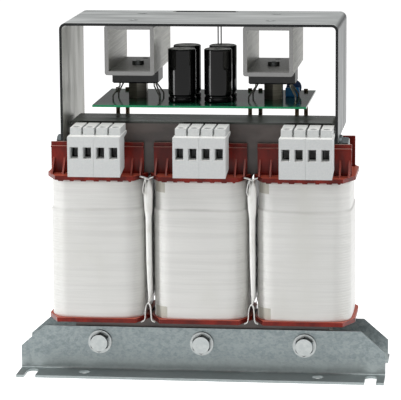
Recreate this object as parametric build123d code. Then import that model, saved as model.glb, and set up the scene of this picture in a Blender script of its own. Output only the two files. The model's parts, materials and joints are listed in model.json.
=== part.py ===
from build123d import *
import os

# Three-phase dry-type transformer with a rectifier deck.
#
# Three wound limbs stand side by side on two bent steel rails. A steel strap closes the top
# yoke, and a wide steel bow bolted to the strap carries two square heat-sink tubes. Each tube
# holds a bridge rectifier, and a circuit board with four smoothing capacitors hangs from the
# rectifier screws.
#
# Frame, in millimetres: X runs along the three limbs, Y from the terminal side to the rear,
# and Z up. The origin lies on the floor, under the middle of the core.

# ------------------------------------------------------------------ driving sizes
# laminated core
limb_width = 38.0
window_width = 42.0
window_height = 115.0
yoke_height = 38.0
stack_depth = 42.0
core_lift = 5.0

# bent base rails
rail_length = 285.0
rail_height = 36.0
rail_thickness = 2.0
rail_foot = 25.0
rail_inner_radius = 2.0
rail_corner_x = 19.0
rail_corner_z = 16.5
foot_hole_radius = 4.5
foot_hole_spacing_x = 182.0
foot_hole_spacing_y = 68.0
foot_slot_spacing_x = 264.0
foot_slot_reach = 21.0

# screws of the base and the bow
m8_diameter = 8.0
m8_across_flats = 13.0
m8_head = 5.3
m8_nut = 6.5
m8_washer_radius = 9.2
m8_washer_thickness = 1.6
m8_clearance = 0.5

# moulded bobbins
bobbin_clearance = 0.3
bobbin_wall = 2.0
flange_thickness = 3.2
flange_gap = 2.0
flange_half_depth = 41.0
flange_corner_x = 8.5
flange_corner_y = 19.0
carrier_width = 72.0
carrier_height = 24.0
carrier_thickness = 2.0
carrier_gap = 1.0
lip_depth = 2.5
lip_thickness = 1.0
lip_drop = 3.0
gusset_offsets = (-34.0, -25.5, 27.5, 34.5)
gusset_depth = 11.0
gusset_height = 12.0
gusset_thickness = 1.4

# windings and their tape wrap
wrap_inset_x = 2.2
wrap_half_depth = 39.6
wrap_side_bulge = 1.4
wrap_front_bulge = 2.6
wrap_corner_radius = 13.0
wrap_thickness = 1.2
wrap_step = 1.2
wrap_step_height = 85.0
winding_end_gap = 0.4

# insulation sheets between the coils
sheet_thickness = 0.8
sheet_flare = 4.8
sheet_fork = 2.2
sheet_flare_height = 3.0
sheet_flare_end = 0.6
sheet_fork_height = 17.0
sheet_half_depth = 38.5
sheet_fork_depth = 5.5

# terminal blocks, two poles each
pole_pitch = 10.0
block_side_gap = 0.05
block_offset = 4.0
block_reach = 43.0
block_standoff = 19.6
block_rise = 3.7
block_height = 30.6
dome_height = 5.5
dome_setback = 9.3
dome_standoff = 6.0
dome_groove = 1.6
lug_width = 12.0
lug_height = 10.0
entry_width = 5.4
entry_height = 8.0
entry_flare = 0.6
entry_flare_depth = 3.0
entry_rise = 18.1
entry_depth = 20.0
clamp_width = 7.4
clamp_height = 11.0
clamp_depth = 9.0
clamp_wall = 0.9
clamp_clearance = 0.1
clamp_setback = 14.5
screw_hole_radius = 2.7
screw_head_radius = 2.5
screw_head_height = 2.4
screw_radius = 2.0
screw_sink = 4.0
screw_entry = 1.2

# strap over the top yoke
strap_thickness = 1.5
strap_end_gap = 1.7
strap_arm = 30.0
strap_bend = 1.5

# bow over the rectifier deck
clinch_height = 2.05
bow_rise = 77.0
bow_thickness = 2.0
bow_front = -36.0
bow_rear = 64.0
bow_bend = 3.0
bow_front_drop = 12.0
bow_rear_drop = 9.5
bow_tab_front = -20.0
bow_tab_rear = 0.0
bow_tab_drop = 28.0
bow_bolt_y = -10.0
bow_bolt_drop = 18.0
bow_slot_length = 52.0
bow_slot_width = 8.0
bow_slot_x = -5.0
bow_slot_y = 57.0
clinch_radius = 7.0

# heat-sink tubes
tube_size = 38.0
tube_wall = 3.0
tube_corner = 2.0
tube_front_inset = 3.0
tube_rear_inset = 1.0
tube_offset = 53.0
tube_screw_places = (-10.0, 40.0)
tube_screw_radius = 2.0
tube_screw_clearance = 0.15
tube_screw_head_radius = 3.8
tube_spare_hole_y = 54.0
tube_spare_hole_radius = 2.6

# rectifiers
rectifier_width = 36.0
rectifier_depth = 32.0
rectifier_height = 10.0
rectifier_y = 14.0
rectifier_edge = 1.0
rectifier_notch = 6.0
m5_radius = 2.5
m5_clearance = 0.2
m5_head_radius = 4.6
m5_head_height = 3.0
lead_radius = 0.6

# circuit board and what stands on it
board_half_width = 82.0
board_front_inset = 3.0
board_rear_inset = 0.0
board_thickness = 1.6
spacer_height = 12.9
spacer_across_flats = 14.0
capacitor_radius = 10.75
capacitor_height = 41.0
capacitor_edge = 1.2
capacitor_places = {"front_left": (-16.0, -6.0), "front_right": (12.0, -6.0),
                    "rear_left": (-15.0, 19.0), "rear_right": (13.0, 19.0)}
crimp_height = 4.5
crimp_depth = 0.8
film_size = (10.8, 6.0, 7.0)
film_place = (66.5, 27.0)
varistor_radius = 6.0
varistor_thickness = 4.0
varistor_place = (67.0, 35.5)
sensor_size = (10.0, 7.0, 4.0)
sensor_place = (7.5, 45.0)
sensor_wire_spacing = 2.4
sensor_wire_radius = 0.5

# enamelled leads from the windings up to the board
lead_out_radius = 1.7
lead_out_clearance = 0.3
lead_out_y = 31.0
lead_board_inset = 7.0
lead_rise = 13.0
lead_bend_drop = 6.0
lead_bend_radius = 9.0
lead_stub = 2.0
lead_places_on_coil = {"left": (4.1, 11.8), "middle": (16.5, 24.0), "right": (-12.5, -5.3)}
lead_places_on_board = {"left": (-75.9, -68.2), "middle": (30.2, 38.5), "right": (67.5, 74.7)}

# ------------------------------------------------------------------ places worked out from them
phase_pitch = limb_width + window_width
phases = {"left": -phase_pitch, "middle": 0.0, "right": phase_pitch}
core_half_width = 1.5 * limb_width + window_width
core_half_depth = stack_depth / 2
window_bottom = core_lift + yoke_height
window_top = window_bottom + window_height
yoke_top = window_top + yoke_height
bolt_z = core_lift + yoke_height / 2

# the rails close on the sides of the lower yoke
rail_face = core_half_depth + rail_thickness
foot_front = rail_face + rail_foot

# the bobbin follows its limb, its window and the coil beside it
bobbin_bottom = window_bottom + bobbin_clearance
bobbin_top = window_top - bobbin_clearance
tube_outer_x = limb_width / 2 + bobbin_clearance + bobbin_wall
tube_outer_y = core_half_depth + bobbin_clearance + bobbin_wall
flange_half_width = (phase_pitch - flange_gap) / 2
carrier_front = core_half_depth + carrier_gap + carrier_thickness
carrier_top = bobbin_top + carrier_height
winding_bottom = bobbin_bottom + flange_thickness
winding_top = bobbin_top - flange_thickness
wrap_half_width = flange_half_width - wrap_inset_x

# the terminals hang on the carrier
block_front = -carrier_front - block_reach
block_rear = -carrier_front - block_standoff
block_bottom = bobbin_top + block_rise
block_shoulder = block_bottom + block_height
dome_top = block_shoulder + dome_height
dome_front = block_front + dome_setback
dome_rear = -carrier_front - dome_standoff
entry_centre = block_bottom + entry_rise
clamp_centre = block_front + clamp_setback
block_top_of_clamp = entry_centre + clamp_height / 2

# the strap follows the top yoke, and the bow follows the strap
strap_half_width = core_half_width + strap_end_gap + strap_thickness
strap_top = yoke_top + strap_thickness
strap_bottom = yoke_top - strap_arm
bow_half_width = strap_half_width + clinch_height + bow_thickness
bow_top = strap_top + bow_rise
bow_underside = bow_top - bow_thickness
bow_front_end = yoke_top - bow_front_drop
bow_rear_end = yoke_top - bow_rear_drop
bow_tab_end = yoke_top - bow_tab_drop
bow_bolt_z = yoke_top - bow_bolt_drop

# the deck hangs from the bow: tube, rectifier, spacer, board
tube_front = bow_front + tube_front_inset
tube_rear = bow_rear - tube_rear_inset
tube_bottom = bow_underside - tube_size
tube_floor = tube_bottom + tube_wall
rectifier_bottom = tube_bottom - rectifier_height
board_front = bow_front + board_front_inset
board_rear = bow_rear - board_rear_inset
board_top = rectifier_bottom - spacer_height
board_bottom = board_top - board_thickness

# each lead leaves its own coil and ends at its own place on the board
lead_board_y = board_rear - lead_board_inset
lead_bend_z = yoke_top - lead_bend_drop
lead_pairs = {name: tuple(zip((x + place for place in lead_places_on_coil[name]), lead_places_on_board[name]))
              for name, x in phases.items()}


# ------------------------------------------------------------------ small helpers
def box(x, y, z):
    """Block from (low, high) pairs along the three axes."""
    size = Box(x[1] - x[0], y[1] - y[0], z[1] - z[0])
    return Pos((x[0] + x[1]) / 2, (y[0] + y[1]) / 2, (z[0] + z[1]) / 2) * size


def rod(radius, start, end):
    """Round bar from one point to another."""
    path = Vector(*end) - Vector(*start)
    return Plane(origin=start, z_dir=path.normalized()) * Cylinder(
        radius, path.length, align=(Align.CENTER, Align.CENTER, Align.MIN))


def flat(points):
    """Flat face with straight sides through the given points."""
    return Face(Wire.make_polygon([Vector(*point) for point in points], close=True))


def bent_strip(outer, inner, outer_radius, inner_radius, low, high, direction):
    """Sheet bent to shape: its section lies between two lines, and runs from low to high."""
    outer_line = FilletPolyline(*outer, radius=outer_radius)
    inner_line = FilletPolyline(*inner, radius=inner_radius)
    ends = [Edge.make_line(outer[0], inner[0]), Edge.make_line(outer[-1], inner[-1])]
    section = Face(Wire(outer_line.edges() + inner_line.edges() + ends))
    return Pos(*(Vector(*direction) * low)) * Solid.extrude(section, Vector(*direction) * (high - low))


def hex_bar(across_flats, height):
    """Hexagonal bar on the XY plane, with its upper corners turned off."""
    bar = extrude(RegularPolygon(across_flats / 2, 6, major_radius=False), height)
    corner_radius = across_flats / 3 ** 0.5
    turned = Cylinder(corner_radius, height, align=(Align.CENTER, Align.CENTER, Align.MIN))
    rim = turned.edges().group_by(Axis.Z)[-1]
    return bar & chamfer(rim, 0.07 * across_flats)


def hex_bolt(shank):
    """M8 bolt standing on the XY plane: the head above it, the shank below."""
    stem = Cylinder(m8_diameter / 2, shank, align=(Align.CENTER, Align.CENTER, Align.MAX))
    return hex_bar(m8_across_flats, m8_head) + stem


def ring(outer, inner, height):
    """Flat ring standing on the XY plane."""
    place = (Align.CENTER, Align.CENTER, Align.MIN)
    return Cylinder(outer, height, align=place) - Cylinder(inner, height, align=place)


def facing(origin, direction):
    """Place whose local Z points along the direction."""
    return Plane(origin=origin, z_dir=direction).location


nodes = {}


def keep(name, *solids):
    """Store the solids of one node."""
    found = [solid for item in solids for solid in item.solids()]
    nodes[name] = found[0] if len(found) == 1 else Compound(children=found)


# ------------------------------------------------------------------ base
def front_rail():
    """Steel angle: the upright bolts to the yoke, the foot lies on the floor."""
    inner = [(0, -foot_front, rail_thickness), (0, -rail_face, rail_thickness), (0, -rail_face, rail_height)]
    outer = [(0, -foot_front, 0), (0, -core_half_depth, 0), (0, -core_half_depth, rail_height)]
    half = rail_length / 2
    rail = bent_strip(outer, inner, rail_inner_radius + rail_thickness, rail_inner_radius,
                      -half, half, (1, 0, 0))
    for side in (-1, 1):
        corner = flat([(side * half, 0, rail_height - rail_corner_z), (side * half, 0, rail_height),
                       (side * (half - rail_corner_x), 0, rail_height)])
        rail -= extrude(corner, foot_front, both=True)
        hole = (side * foot_hole_spacing_x / 2, -foot_hole_spacing_y / 2, 0)
        rail -= Pos(*hole) * Cylinder(foot_hole_radius, 3 * rail_thickness)
        slot_x = side * foot_slot_spacing_x / 2
        slot_end = -foot_front + foot_slot_reach - foot_hole_radius
        rail -= Pos(slot_x, slot_end, 0) * Cylinder(foot_hole_radius, 3 * rail_thickness)
        rail -= box((slot_x - foot_hole_radius, slot_x + foot_hole_radius), (-foot_front - 1, slot_end),
                    (-1, rail_thickness + 1))
    for x in phases.values():
        rail -= rod(m8_diameter / 2 + m8_clearance, (x, -rail_face - 1, bolt_z), (x, 0, bolt_z))
    return rail


def base_fasteners():
    """Through bolts of the lower yoke, with their washers and nuts."""
    seat = rail_face + m8_washer_thickness
    bolts, washers, nuts = [], [], []
    for x in phases.values():
        shank = 2 * seat + m8_nut + 2
        bolts.append(facing((x, -seat, bolt_z), (0, -1, 0)) * hex_bolt(shank))
        for side in (-1, 1):
            washers.append(facing((x, side * rail_face, bolt_z), (0, side, 0)) * ring(
                m8_washer_radius, m8_diameter / 2 + m8_clearance / 2, m8_washer_thickness))
        nut = hex_bar(m8_across_flats, m8_nut) - Cylinder(m8_diameter / 2 + 0.05, 3 * m8_nut)
        nuts.append(facing((x, seat, bolt_z), (0, 1, 0)) * nut)
    keep("base_bolts", *bolts)
    keep("base_washers", *washers)
    keep("base_nuts", *nuts)


# ------------------------------------------------------------------ core
def core_legs():
    """Lower yoke with the three limbs, one stack of sheets."""
    stack = box((-core_half_width, core_half_width), (-core_half_depth, core_half_depth),
                (core_lift, window_bottom))
    for x in phases.values():
        stack += box((x - limb_width / 2, x + limb_width / 2), (-core_half_depth, core_half_depth),
                     (window_bottom, window_top))
        stack -= rod(m8_diameter / 2 + m8_clearance, (x, -core_half_depth - 1, bolt_z),
                     (x, core_half_depth + 1, bolt_z))
    return stack


def top_yoke():
    """Upper yoke that closes the three limbs."""
    return box((-core_half_width, core_half_width), (-core_half_depth, core_half_depth),
               (window_top, yoke_top))


# ------------------------------------------------------------------ coils
def flange_face():
    """Flange outline with its four long corners cut."""
    x, y = flange_half_width, flange_half_depth
    cut_x, cut_y = x - flange_corner_x, y - flange_corner_y
    return flat([(cut_x, -y), (x, -cut_y), (x, cut_y), (cut_x, y),
                 (-cut_x, y), (-x, cut_y), (-x, -cut_y), (-cut_x, -y)])


def bobbin():
    """Moulded bobbin: a square tube, two flanges and two upright terminal carriers."""
    body = box((-tube_outer_x, tube_outer_x), (-tube_outer_y, tube_outer_y), (bobbin_bottom, bobbin_top))
    for z in (bobbin_bottom, winding_top):
        body += Pos(0, 0, z) * Solid.extrude(flange_face(), Vector(0, 0, flange_thickness))
    hole_x = limb_width / 2 + bobbin_clearance
    hole_y = core_half_depth + bobbin_clearance
    body -= box((-hole_x, hole_x), (-hole_y, hole_y), (bobbin_bottom - 1, bobbin_top + 1))
    for side in (-1, 1):
        wall = sorted((side * carrier_front, side * (carrier_front - carrier_thickness)))
        body += box((-carrier_width / 2, carrier_width / 2), wall, (winding_top, carrier_top))
        lip = sorted((side * carrier_front, side * (carrier_front + lip_depth)))
        body += box((-carrier_width / 2, carrier_width / 2), lip,
                    (carrier_top - lip_drop - lip_thickness, carrier_top - lip_drop))
        for x in gusset_offsets:
            web = flat([(x, side * carrier_front, bobbin_top),
                        (x, side * (carrier_front + gusset_depth), bobbin_top),
                        (x, side * carrier_front, bobbin_top + gusset_height)])
            body += extrude(web, gusset_thickness / 2, both=True)
    return body


def wrap_outline(inset):
    """Rounded coil section whose four sides bulge a little."""
    x, y = wrap_half_width - inset, wrap_half_depth - inset
    side_x, front_y = x - wrap_side_bulge, y - wrap_front_bulge
    sides = [ThreePointArc((side_x, -front_y), (x, 0), (side_x, front_y)),
             ThreePointArc((side_x, front_y), (0, y), (-side_x, front_y)),
             ThreePointArc((-side_x, front_y), (-x, 0), (-side_x, -front_y)),
             ThreePointArc((-side_x, -front_y), (0, -y), (side_x, -front_y))]
    section = make_face(sides)
    return fillet(section.vertices(), wrap_corner_radius - inset)


def coil_wrap():
    """White tape sleeve round the winding, thicker over its lower stretch."""
    height = winding_top - winding_bottom
    sleeve = extrude(wrap_outline(wrap_step), height) + extrude(wrap_outline(0), wrap_step_height)
    sleeve -= extrude(wrap_outline(wrap_step + wrap_thickness), height)
    return Pos(0, 0, winding_bottom) * sleeve


def winding():
    """Copper winding between the bobbin's tube and the tape."""
    height = winding_top - winding_bottom - 2 * winding_end_gap
    copper = extrude(wrap_outline(wrap_step + wrap_thickness), height)
    copper -= Pos(0, 0, height / 2) * Box(2 * tube_outer_x, 2 * tube_outer_y, height)
    return Pos(0, 0, winding_bottom + winding_end_gap) * copper


def place_bobbin_holes(name, x):
    """Holes in the upper flange for the two leads of one winding."""
    body = Pos(x, 0, 0) * bobbin()
    for low_x, _ in lead_pairs[name]:
        body -= rod(lead_out_radius + lead_out_clearance, (low_x, lead_out_y, winding_top - 1),
                    (low_x, lead_out_y, bobbin_top + 1))
    return body


def insulation_sheet():
    """Folded sheet that stands between two coils, forked at its four outer corners."""
    half = sheet_thickness / 2
    sheet = box((-half, half), (-sheet_half_depth, sheet_half_depth), (window_bottom, window_top))
    fork = sheet_fork_height
    for front in (-sheet_half_depth, sheet_half_depth - sheet_fork_depth):
        sheet -= box((-1, 1), (front - 1, front + sheet_fork_depth + 1),
                     (window_bottom - 1, window_bottom + fork - 1))
        sheet -= box((-1, 1), (front - 1, front + sheet_fork_depth + 1),
                     (window_top - fork + 1, window_top + 1))
        for base, up in ((window_bottom, 1), (window_top, -1)):
            for side in (-1, 1):
                spine = [(0, fork), (sheet_fork, fork - 5), (sheet_fork, sheet_flare_height),
                         (sheet_flare, sheet_flare_end)]
                inner = [(side * x, z) for x, z in spine]
                outer = [(side * (x + sheet_thickness), z) for x, z in spine[:-1]]
                outer.append((side * (sheet_flare + sheet_thickness), sheet_flare_end + sheet_thickness / 2))
                loop = inner + outer[::-1]
                leg = flat([(x, front, base + up * z) for x, z in loop])
                sheet += Solid.extrude(leg, Vector(0, sheet_fork_depth, 0))
    return sheet


# ------------------------------------------------------------------ terminals
def terminal_block():
    """Two-pole screw terminal: wire entries in front, screw domes on top, a lug at the rear."""
    half = pole_pitch - block_side_gap
    outline = flat([(0, block_front, block_bottom), (0, block_front, block_shoulder),
                    (0, dome_front, block_shoulder), (0, dome_front, dome_top),
                    (0, dome_rear, dome_top), (0, dome_rear, block_shoulder - 2),
                    (0, block_rear, block_shoulder - 3.4), (0, block_rear, block_bottom + 4.2)])
    body = extrude(outline, half, both=True)
    lug_z = (carrier_top - lip_drop - lip_thickness - lug_height, carrier_top - lip_drop - lip_thickness)
    body += box((-lug_width / 2, lug_width / 2), (block_rear, -carrier_front), lug_z)
    for x in (-pole_pitch, 0, pole_pitch):
        body -= box((x - dome_groove / 2, x + dome_groove / 2), (dome_front - 1, dome_rear + 1),
                    (block_shoulder, dome_top + 1))
    for x in (-pole_pitch / 2, pole_pitch / 2):
        mouth = Plane(origin=(x, block_front, entry_centre), x_dir=(1, 0, 0), z_dir=(0, 1, 0))
        wide = mouth * Rectangle(entry_width + 2 * entry_flare, entry_height + 2 * entry_flare)
        neck = mouth.offset(entry_flare_depth) * Rectangle(entry_width, entry_height)
        body -= loft([wide.faces()[0], neck.faces()[0]])
        body -= box((x - entry_width / 2, x + entry_width / 2), (block_front, block_front + entry_depth),
                    (entry_centre - entry_height / 2, entry_centre + entry_height / 2))
        room = clamp_width / 2 + clamp_clearance
        body -= box((x - room, x + room),
                    (clamp_centre - clamp_depth / 2 - clamp_clearance,
                     clamp_centre + clamp_depth / 2 + clamp_clearance),
                    (entry_centre - clamp_height / 2 - clamp_clearance, block_top_of_clamp + clamp_clearance))
        body -= rod(screw_hole_radius, (x, clamp_centre, entry_centre), (x, clamp_centre, dome_top + 1))
    return body


def terminal_clamp():
    """Folded metal cage that holds one wire."""
    half = clamp_width / 2
    cage = box((-half, half), (clamp_centre - clamp_depth / 2, clamp_centre + clamp_depth / 2),
               (entry_centre - clamp_height / 2, block_top_of_clamp))
    cage -= box((clamp_wall - half, half - clamp_wall),
                (clamp_centre - clamp_depth, clamp_centre + clamp_depth),
                (entry_centre - clamp_height / 2 + clamp_wall, block_top_of_clamp - clamp_wall))
    return cage - rod(screw_radius + 0.05, (0, clamp_centre, entry_centre),
                      (0, clamp_centre, block_top_of_clamp + 1))


def terminal_screw():
    """Slotted screw over one clamp."""
    head_top = dome_top - screw_sink
    head_bottom = head_top - screw_head_height
    screw = rod(screw_head_radius, (0, clamp_centre, head_bottom), (0, clamp_centre, head_top))
    screw += rod(screw_radius, (0, clamp_centre, block_top_of_clamp - clamp_wall - screw_entry),
                 (0, clamp_centre, head_bottom))
    return screw - box((-4, 4), (clamp_centre - 0.4, clamp_centre + 0.4), (head_top - 1, head_top + 1))


def terminals():
    """Six two-pole blocks in a row, two to a coil."""
    clamps, screws = [], []
    number = 1
    for phase_x in phases.values():
        for side in (-1, 1):
            x = phase_x + block_offset + side * pole_pitch
            keep(f"terminal_block_{number}", Pos(x, 0, 0) * terminal_block())
            number += 1
            for pole in (-pole_pitch / 2, pole_pitch / 2):
                clamps.append(Pos(x + pole, 0, 0) * terminal_clamp())
                screws.append(Pos(x + pole, 0, 0) * terminal_screw())
    keep("terminal_clamps", *clamps)
    keep("terminal_screws", *screws)


# ------------------------------------------------------------------ strap and bow
def yoke_strap():
    """Steel strap bent over the top yoke, with an arm down each end of it."""
    outer_x, inner_x = strap_half_width, strap_half_width - strap_thickness
    outer = [(-outer_x, 0, strap_bottom), (-outer_x, 0, strap_top), (outer_x, 0, strap_top),
             (outer_x, 0, strap_bottom)]
    inner = [(-inner_x, 0, strap_bottom), (-inner_x, 0, yoke_top), (inner_x, 0, yoke_top),
             (inner_x, 0, strap_bottom)]
    strap = bent_strip(outer, inner, strap_bend + strap_thickness, strap_bend,
                       -core_half_depth, core_half_depth, (0, 1, 0))
    hole = (core_half_width, bow_bolt_y, bow_bolt_z)
    for side in (-1, 1):
        strap -= rod(m8_diameter / 2 + m8_clearance, (side * hole[0], hole[1], hole[2]),
                     (side * (strap_half_width + 1), hole[1], hole[2]))
    return strap


def bow():
    """Wide steel bow: a flat top, two arms, and a bolting tab at the foot of each arm."""
    outer_x, inner_x = bow_half_width, bow_half_width - bow_thickness
    outer = [(-outer_x, 0, bow_tab_end), (-outer_x, 0, bow_top), (outer_x, 0, bow_top), (outer_x, 0, bow_tab_end)]
    inner = [(-inner_x, 0, bow_tab_end), (-inner_x, 0, bow_underside), (inner_x, 0, bow_underside),
             (inner_x, 0, bow_tab_end)]
    sheet = bent_strip(outer, inner, bow_bend + bow_thickness, bow_bend, bow_front, bow_rear, (0, 1, 0))
    wide = (-outer_x - 1, outer_x + 1)
    sheet -= box(wide, (bow_front - 1, bow_tab_front), (bow_tab_end - 1, bow_front_end))
    sheet -= box(wide, (bow_tab_rear, bow_rear + 1), (bow_tab_end - 1, bow_rear_end))
    sheet -= rod(m8_diameter / 2 + m8_clearance, (wide[0], bow_bolt_y, bow_bolt_z),
                 (wide[1], bow_bolt_y, bow_bolt_z))
    slot = SlotOverall(bow_slot_length, bow_slot_width)
    sheet -= Pos(bow_slot_x, bow_slot_y, bow_underside - 1) * extrude(slot, bow_thickness + 2)
    for x in (-tube_offset, tube_offset):
        for y in tube_screw_places:
            sheet -= Pos(x, y, 0) * countersink(bow_top + 0.001, tube_screw_clearance)
    return sheet


def countersink(top, clearance):
    """Countersunk screw shape, or its hole when a clearance is given."""
    cone = Pos(0, 0, top - bow_thickness / 2) * Cone(
        tube_screw_radius + clearance, tube_screw_head_radius + clearance, bow_thickness)
    return cone + Pos(0, 0, top - bow_thickness) * Cylinder(tube_screw_radius + clearance, 1.0)


def bow_fasteners():
    """Bolt, washer and clinch nut at each end of the bow."""
    bolts, washers, nuts = [], [], []
    for side in (-1, 1):
        seat = side * (bow_half_width + m8_washer_thickness)
        shank = bow_half_width + m8_washer_thickness - core_half_width - 1
        place = facing((seat, bow_bolt_y, bow_bolt_z), (side, 0, 0))
        bolts.append(place * hex_bolt(shank))
        washer = ring(m8_washer_radius, m8_diameter / 2 + m8_clearance / 2, m8_washer_thickness)
        washers.append(facing((side * bow_half_width, bow_bolt_y, bow_bolt_z), (side, 0, 0)) * washer)
        gap = bow_half_width - bow_thickness - strap_half_width
        nut = ring(clinch_radius, m8_diameter / 2 + 0.05, gap)
        nuts.append(facing((side * strap_half_width, bow_bolt_y, bow_bolt_z), (side, 0, 0)) * nut)
    keep("bow_bolts", *bolts)
    keep("bow_washers", *washers)
    keep("clinch_nuts", *nuts)


# ------------------------------------------------------------------ rectifier deck
def heat_sink():
    """Square aluminium tube that hangs under the bow."""
    place = Plane(origin=(0, tube_front, bow_underside - tube_size / 2), x_dir=(1, 0, 0), z_dir=(0, 1, 0))
    inner = tube_size - 2 * tube_wall
    section = RectangleRounded(tube_size, tube_size, tube_corner) - Rectangle(inner, inner)
    tube = extrude(place * section, tube_rear - tube_front, dir=(0, 1, 0))
    tube -= rod(m5_radius + m5_clearance, (0, rectifier_y, tube_bottom - 1), (0, rectifier_y, tube_floor + 1))
    tube -= rod(tube_spare_hole_radius, (0, tube_spare_hole_y, tube_bottom - 1),
                (0, tube_spare_hole_y, tube_floor + 1))
    for y in tube_screw_places:
        tube -= rod(tube_screw_radius + tube_screw_clearance, (0, y, bow_underside - tube_wall - 1),
                    (0, y, bow_underside + 1))
    return tube


def heat_sink_screws():
    """Countersunk screws through the bow into the tubes."""
    screws = []
    for x in (-tube_offset, tube_offset):
        for y in tube_screw_places:
            screw = countersink(bow_top - 0.1, 0) + rod(
                tube_screw_radius, (0, 0, bow_underside - tube_wall), (0, 0, bow_top - bow_thickness / 2))
            screw -= box((-2.5, 2.5), (-0.4, 0.4), (bow_top - 0.9, bow_top + 1))
            screws.append(Pos(x, y, 0) * screw)
    keep("heat_sink_screws", *screws)


def rectifier():
    """Moulded bridge rectifier with one corner cut and a hole for its screw."""
    body = Box(rectifier_width, rectifier_depth, rectifier_height)
    body = chamfer(body.edges().group_by(Axis.Z)[0], rectifier_edge)
    corner = flat([(rectifier_width / 2 - rectifier_notch, rectifier_depth / 2, 0),
                   (rectifier_width / 2, rectifier_depth / 2, 0),
                   (rectifier_width / 2, rectifier_depth / 2 - rectifier_notch, 0)])
    body -= extrude(corner, rectifier_height, both=True)
    body -= Cylinder(m5_radius + m5_clearance, 2 * rectifier_height)
    return Pos(0, rectifier_y, rectifier_bottom + rectifier_height / 2) * body


def rectifier_leads():
    """Five bent legs from the rectifier down to the board."""
    drop = rectifier_bottom - board_top
    legs = []
    for top_x, low_x, y in ((-13, -18.5, 4), (-13, -17.0, 23), (14, 18.0, 3), (14, 17.0, 14), (13, 18.5, 24)):
        line = FilletPolyline((top_x, y, rectifier_bottom), (top_x, y, rectifier_bottom - 0.2 * drop),
                              (low_x, y, board_top + 0.2 * drop), (low_x, y, board_top), radius=1.5)
        profile = Plane(origin=line @ 0, z_dir=line % 0) * Circle(lead_radius)
        legs.append(sweep(profile, path=line))
    return legs


def deck_side(side, name):
    """Tube, rectifier and legs on one side of the deck."""
    x = side * tube_offset
    keep(f"heat_sink_{name}", Pos(x, 0, 0) * heat_sink())
    keep(f"rectifier_{name}", Pos(x, 0, 0) * rectifier())
    keep(f"rectifier_leads_{name}", *[Pos(x, 0, 0) * leg for leg in rectifier_leads()])


def deck_fasteners():
    """Screws and hexagonal spacers that carry the board under the rectifiers."""
    spacers, upper, lower = [], [], []
    drop = rectifier_bottom - board_top
    for x in (-tube_offset, tube_offset):
        spacer = extrude(RegularPolygon(spacer_across_flats / 2, 6, major_radius=False, rotation=30), drop)
        spacer -= Pos(0, 0, drop / 2) * Cylinder(m5_radius + 0.05, 2 * drop)
        spacers.append(Pos(x, rectifier_y, board_top) * spacer)
        tip = board_top + 0.6 * drop
        screw = rod(m5_radius, (x, rectifier_y, tip), (x, rectifier_y, tube_floor))
        head = rod(m5_head_radius, (x, rectifier_y, tube_floor), (x, rectifier_y, tube_floor + m5_head_height))
        head -= Pos(x, rectifier_y, tube_floor + m5_head_height) * extrude(RegularPolygon(2.2, 6), 1.8, both=True)
        upper.append(screw + chamfer(head.edges().group_by(Axis.Z)[-1].sort_by(SortBy.LENGTH)[-1:], 0.5))
        screw = rod(m5_radius, (x, rectifier_y, board_bottom), (x, rectifier_y, board_top + 0.4 * drop))
        head = rod(m5_head_radius, (x, rectifier_y, board_bottom - m5_head_height),
                   (x, rectifier_y, board_bottom))
        lower.append(screw + head)
    keep("board_spacers", *spacers)
    keep("rectifier_screws", *upper)
    keep("board_screws", *lower)


def circuit_board():
    """Drilled board of the smoothing circuit."""
    board = box((-board_half_width, board_half_width), (board_front, board_rear), (board_bottom, board_top))
    for x in (-tube_offset, tube_offset):
        board -= rod(m5_radius + m5_clearance, (x, rectifier_y, board_bottom - 1), (x, rectifier_y, board_top + 1))
    for pair in lead_pairs.values():
        for _, x in pair:
            board -= rod(lead_out_radius + lead_out_clearance, (x, lead_board_y, board_bottom - 1),
                         (x, lead_board_y, board_top + 1))
    return board


def capacitor():
    """Sleeved can with a crimped groove near its foot and a scored vent on top."""
    radius, height = capacitor_radius, capacitor_height
    can = Cylinder(radius, height, align=(Align.CENTER, Align.CENTER, Align.MIN))
    can = fillet(can.edges().filter_by(GeomType.CIRCLE), capacitor_edge)
    can -= Pos(0, 0, crimp_height) * Torus(radius + crimp_depth, 2 * crimp_depth)
    can -= Pos(0, 0, height) * Cylinder(radius - 2, 0.6)
    can += Pos(0, 0, height - 0.3) * Cylinder(radius - 3, 0.4)
    for angle in (0, 60, 120):
        can -= Pos(0, 0, height) * Rot(0, 0, angle) * Box(radius, 0.7, 0.7)
    return can


def small_parts():
    """Film capacitor, varistor and the temperature sensor with its two wires."""
    x, y = film_place
    body = Pos(x, y, board_top + film_size[2] / 2) * Box(*film_size)
    keep("film_capacitor", fillet(body.edges(), 0.7))
    x, y = varistor_place
    disc = rod(varistor_radius, (x, y - varistor_thickness / 2, board_top + varistor_radius),
               (x, y + varistor_thickness / 2, board_top + varistor_radius))
    keep("varistor", fillet(disc.edges().filter_by(GeomType.CIRCLE), 1.2))
    x, y = sensor_place
    body = Pos(x, y, bow_underside - sensor_size[2] / 2) * Box(*sensor_size)
    keep("temperature_sensor", chamfer(body.edges().group_by(Axis.Z)[0], 0.6))
    wires = [rod(sensor_wire_radius, (x + shift, y, board_top), (x + shift, y, bow_underside - sensor_size[2]))
             for shift in (-sensor_wire_spacing / 2, sensor_wire_spacing / 2)]
    keep("sensor_wires", *wires)


def winding_leads(name):
    """Two stiff enamelled leads from one winding up through the board."""
    leads = []
    foot = winding_top - winding_end_gap
    for low_x, high_x in lead_pairs[name]:
        line = FilletPolyline((low_x, lead_out_y, foot), (low_x, lead_out_y, foot + lead_rise),
                              (high_x, lead_board_y, lead_bend_z),
                              (high_x, lead_board_y, board_top + lead_stub), radius=lead_bend_radius)
        leads.append(sweep(Plane(origin=line @ 0, z_dir=line % 0) * Circle(lead_out_radius), path=line))
    keep(f"winding_leads_{name}", *leads)


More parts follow.
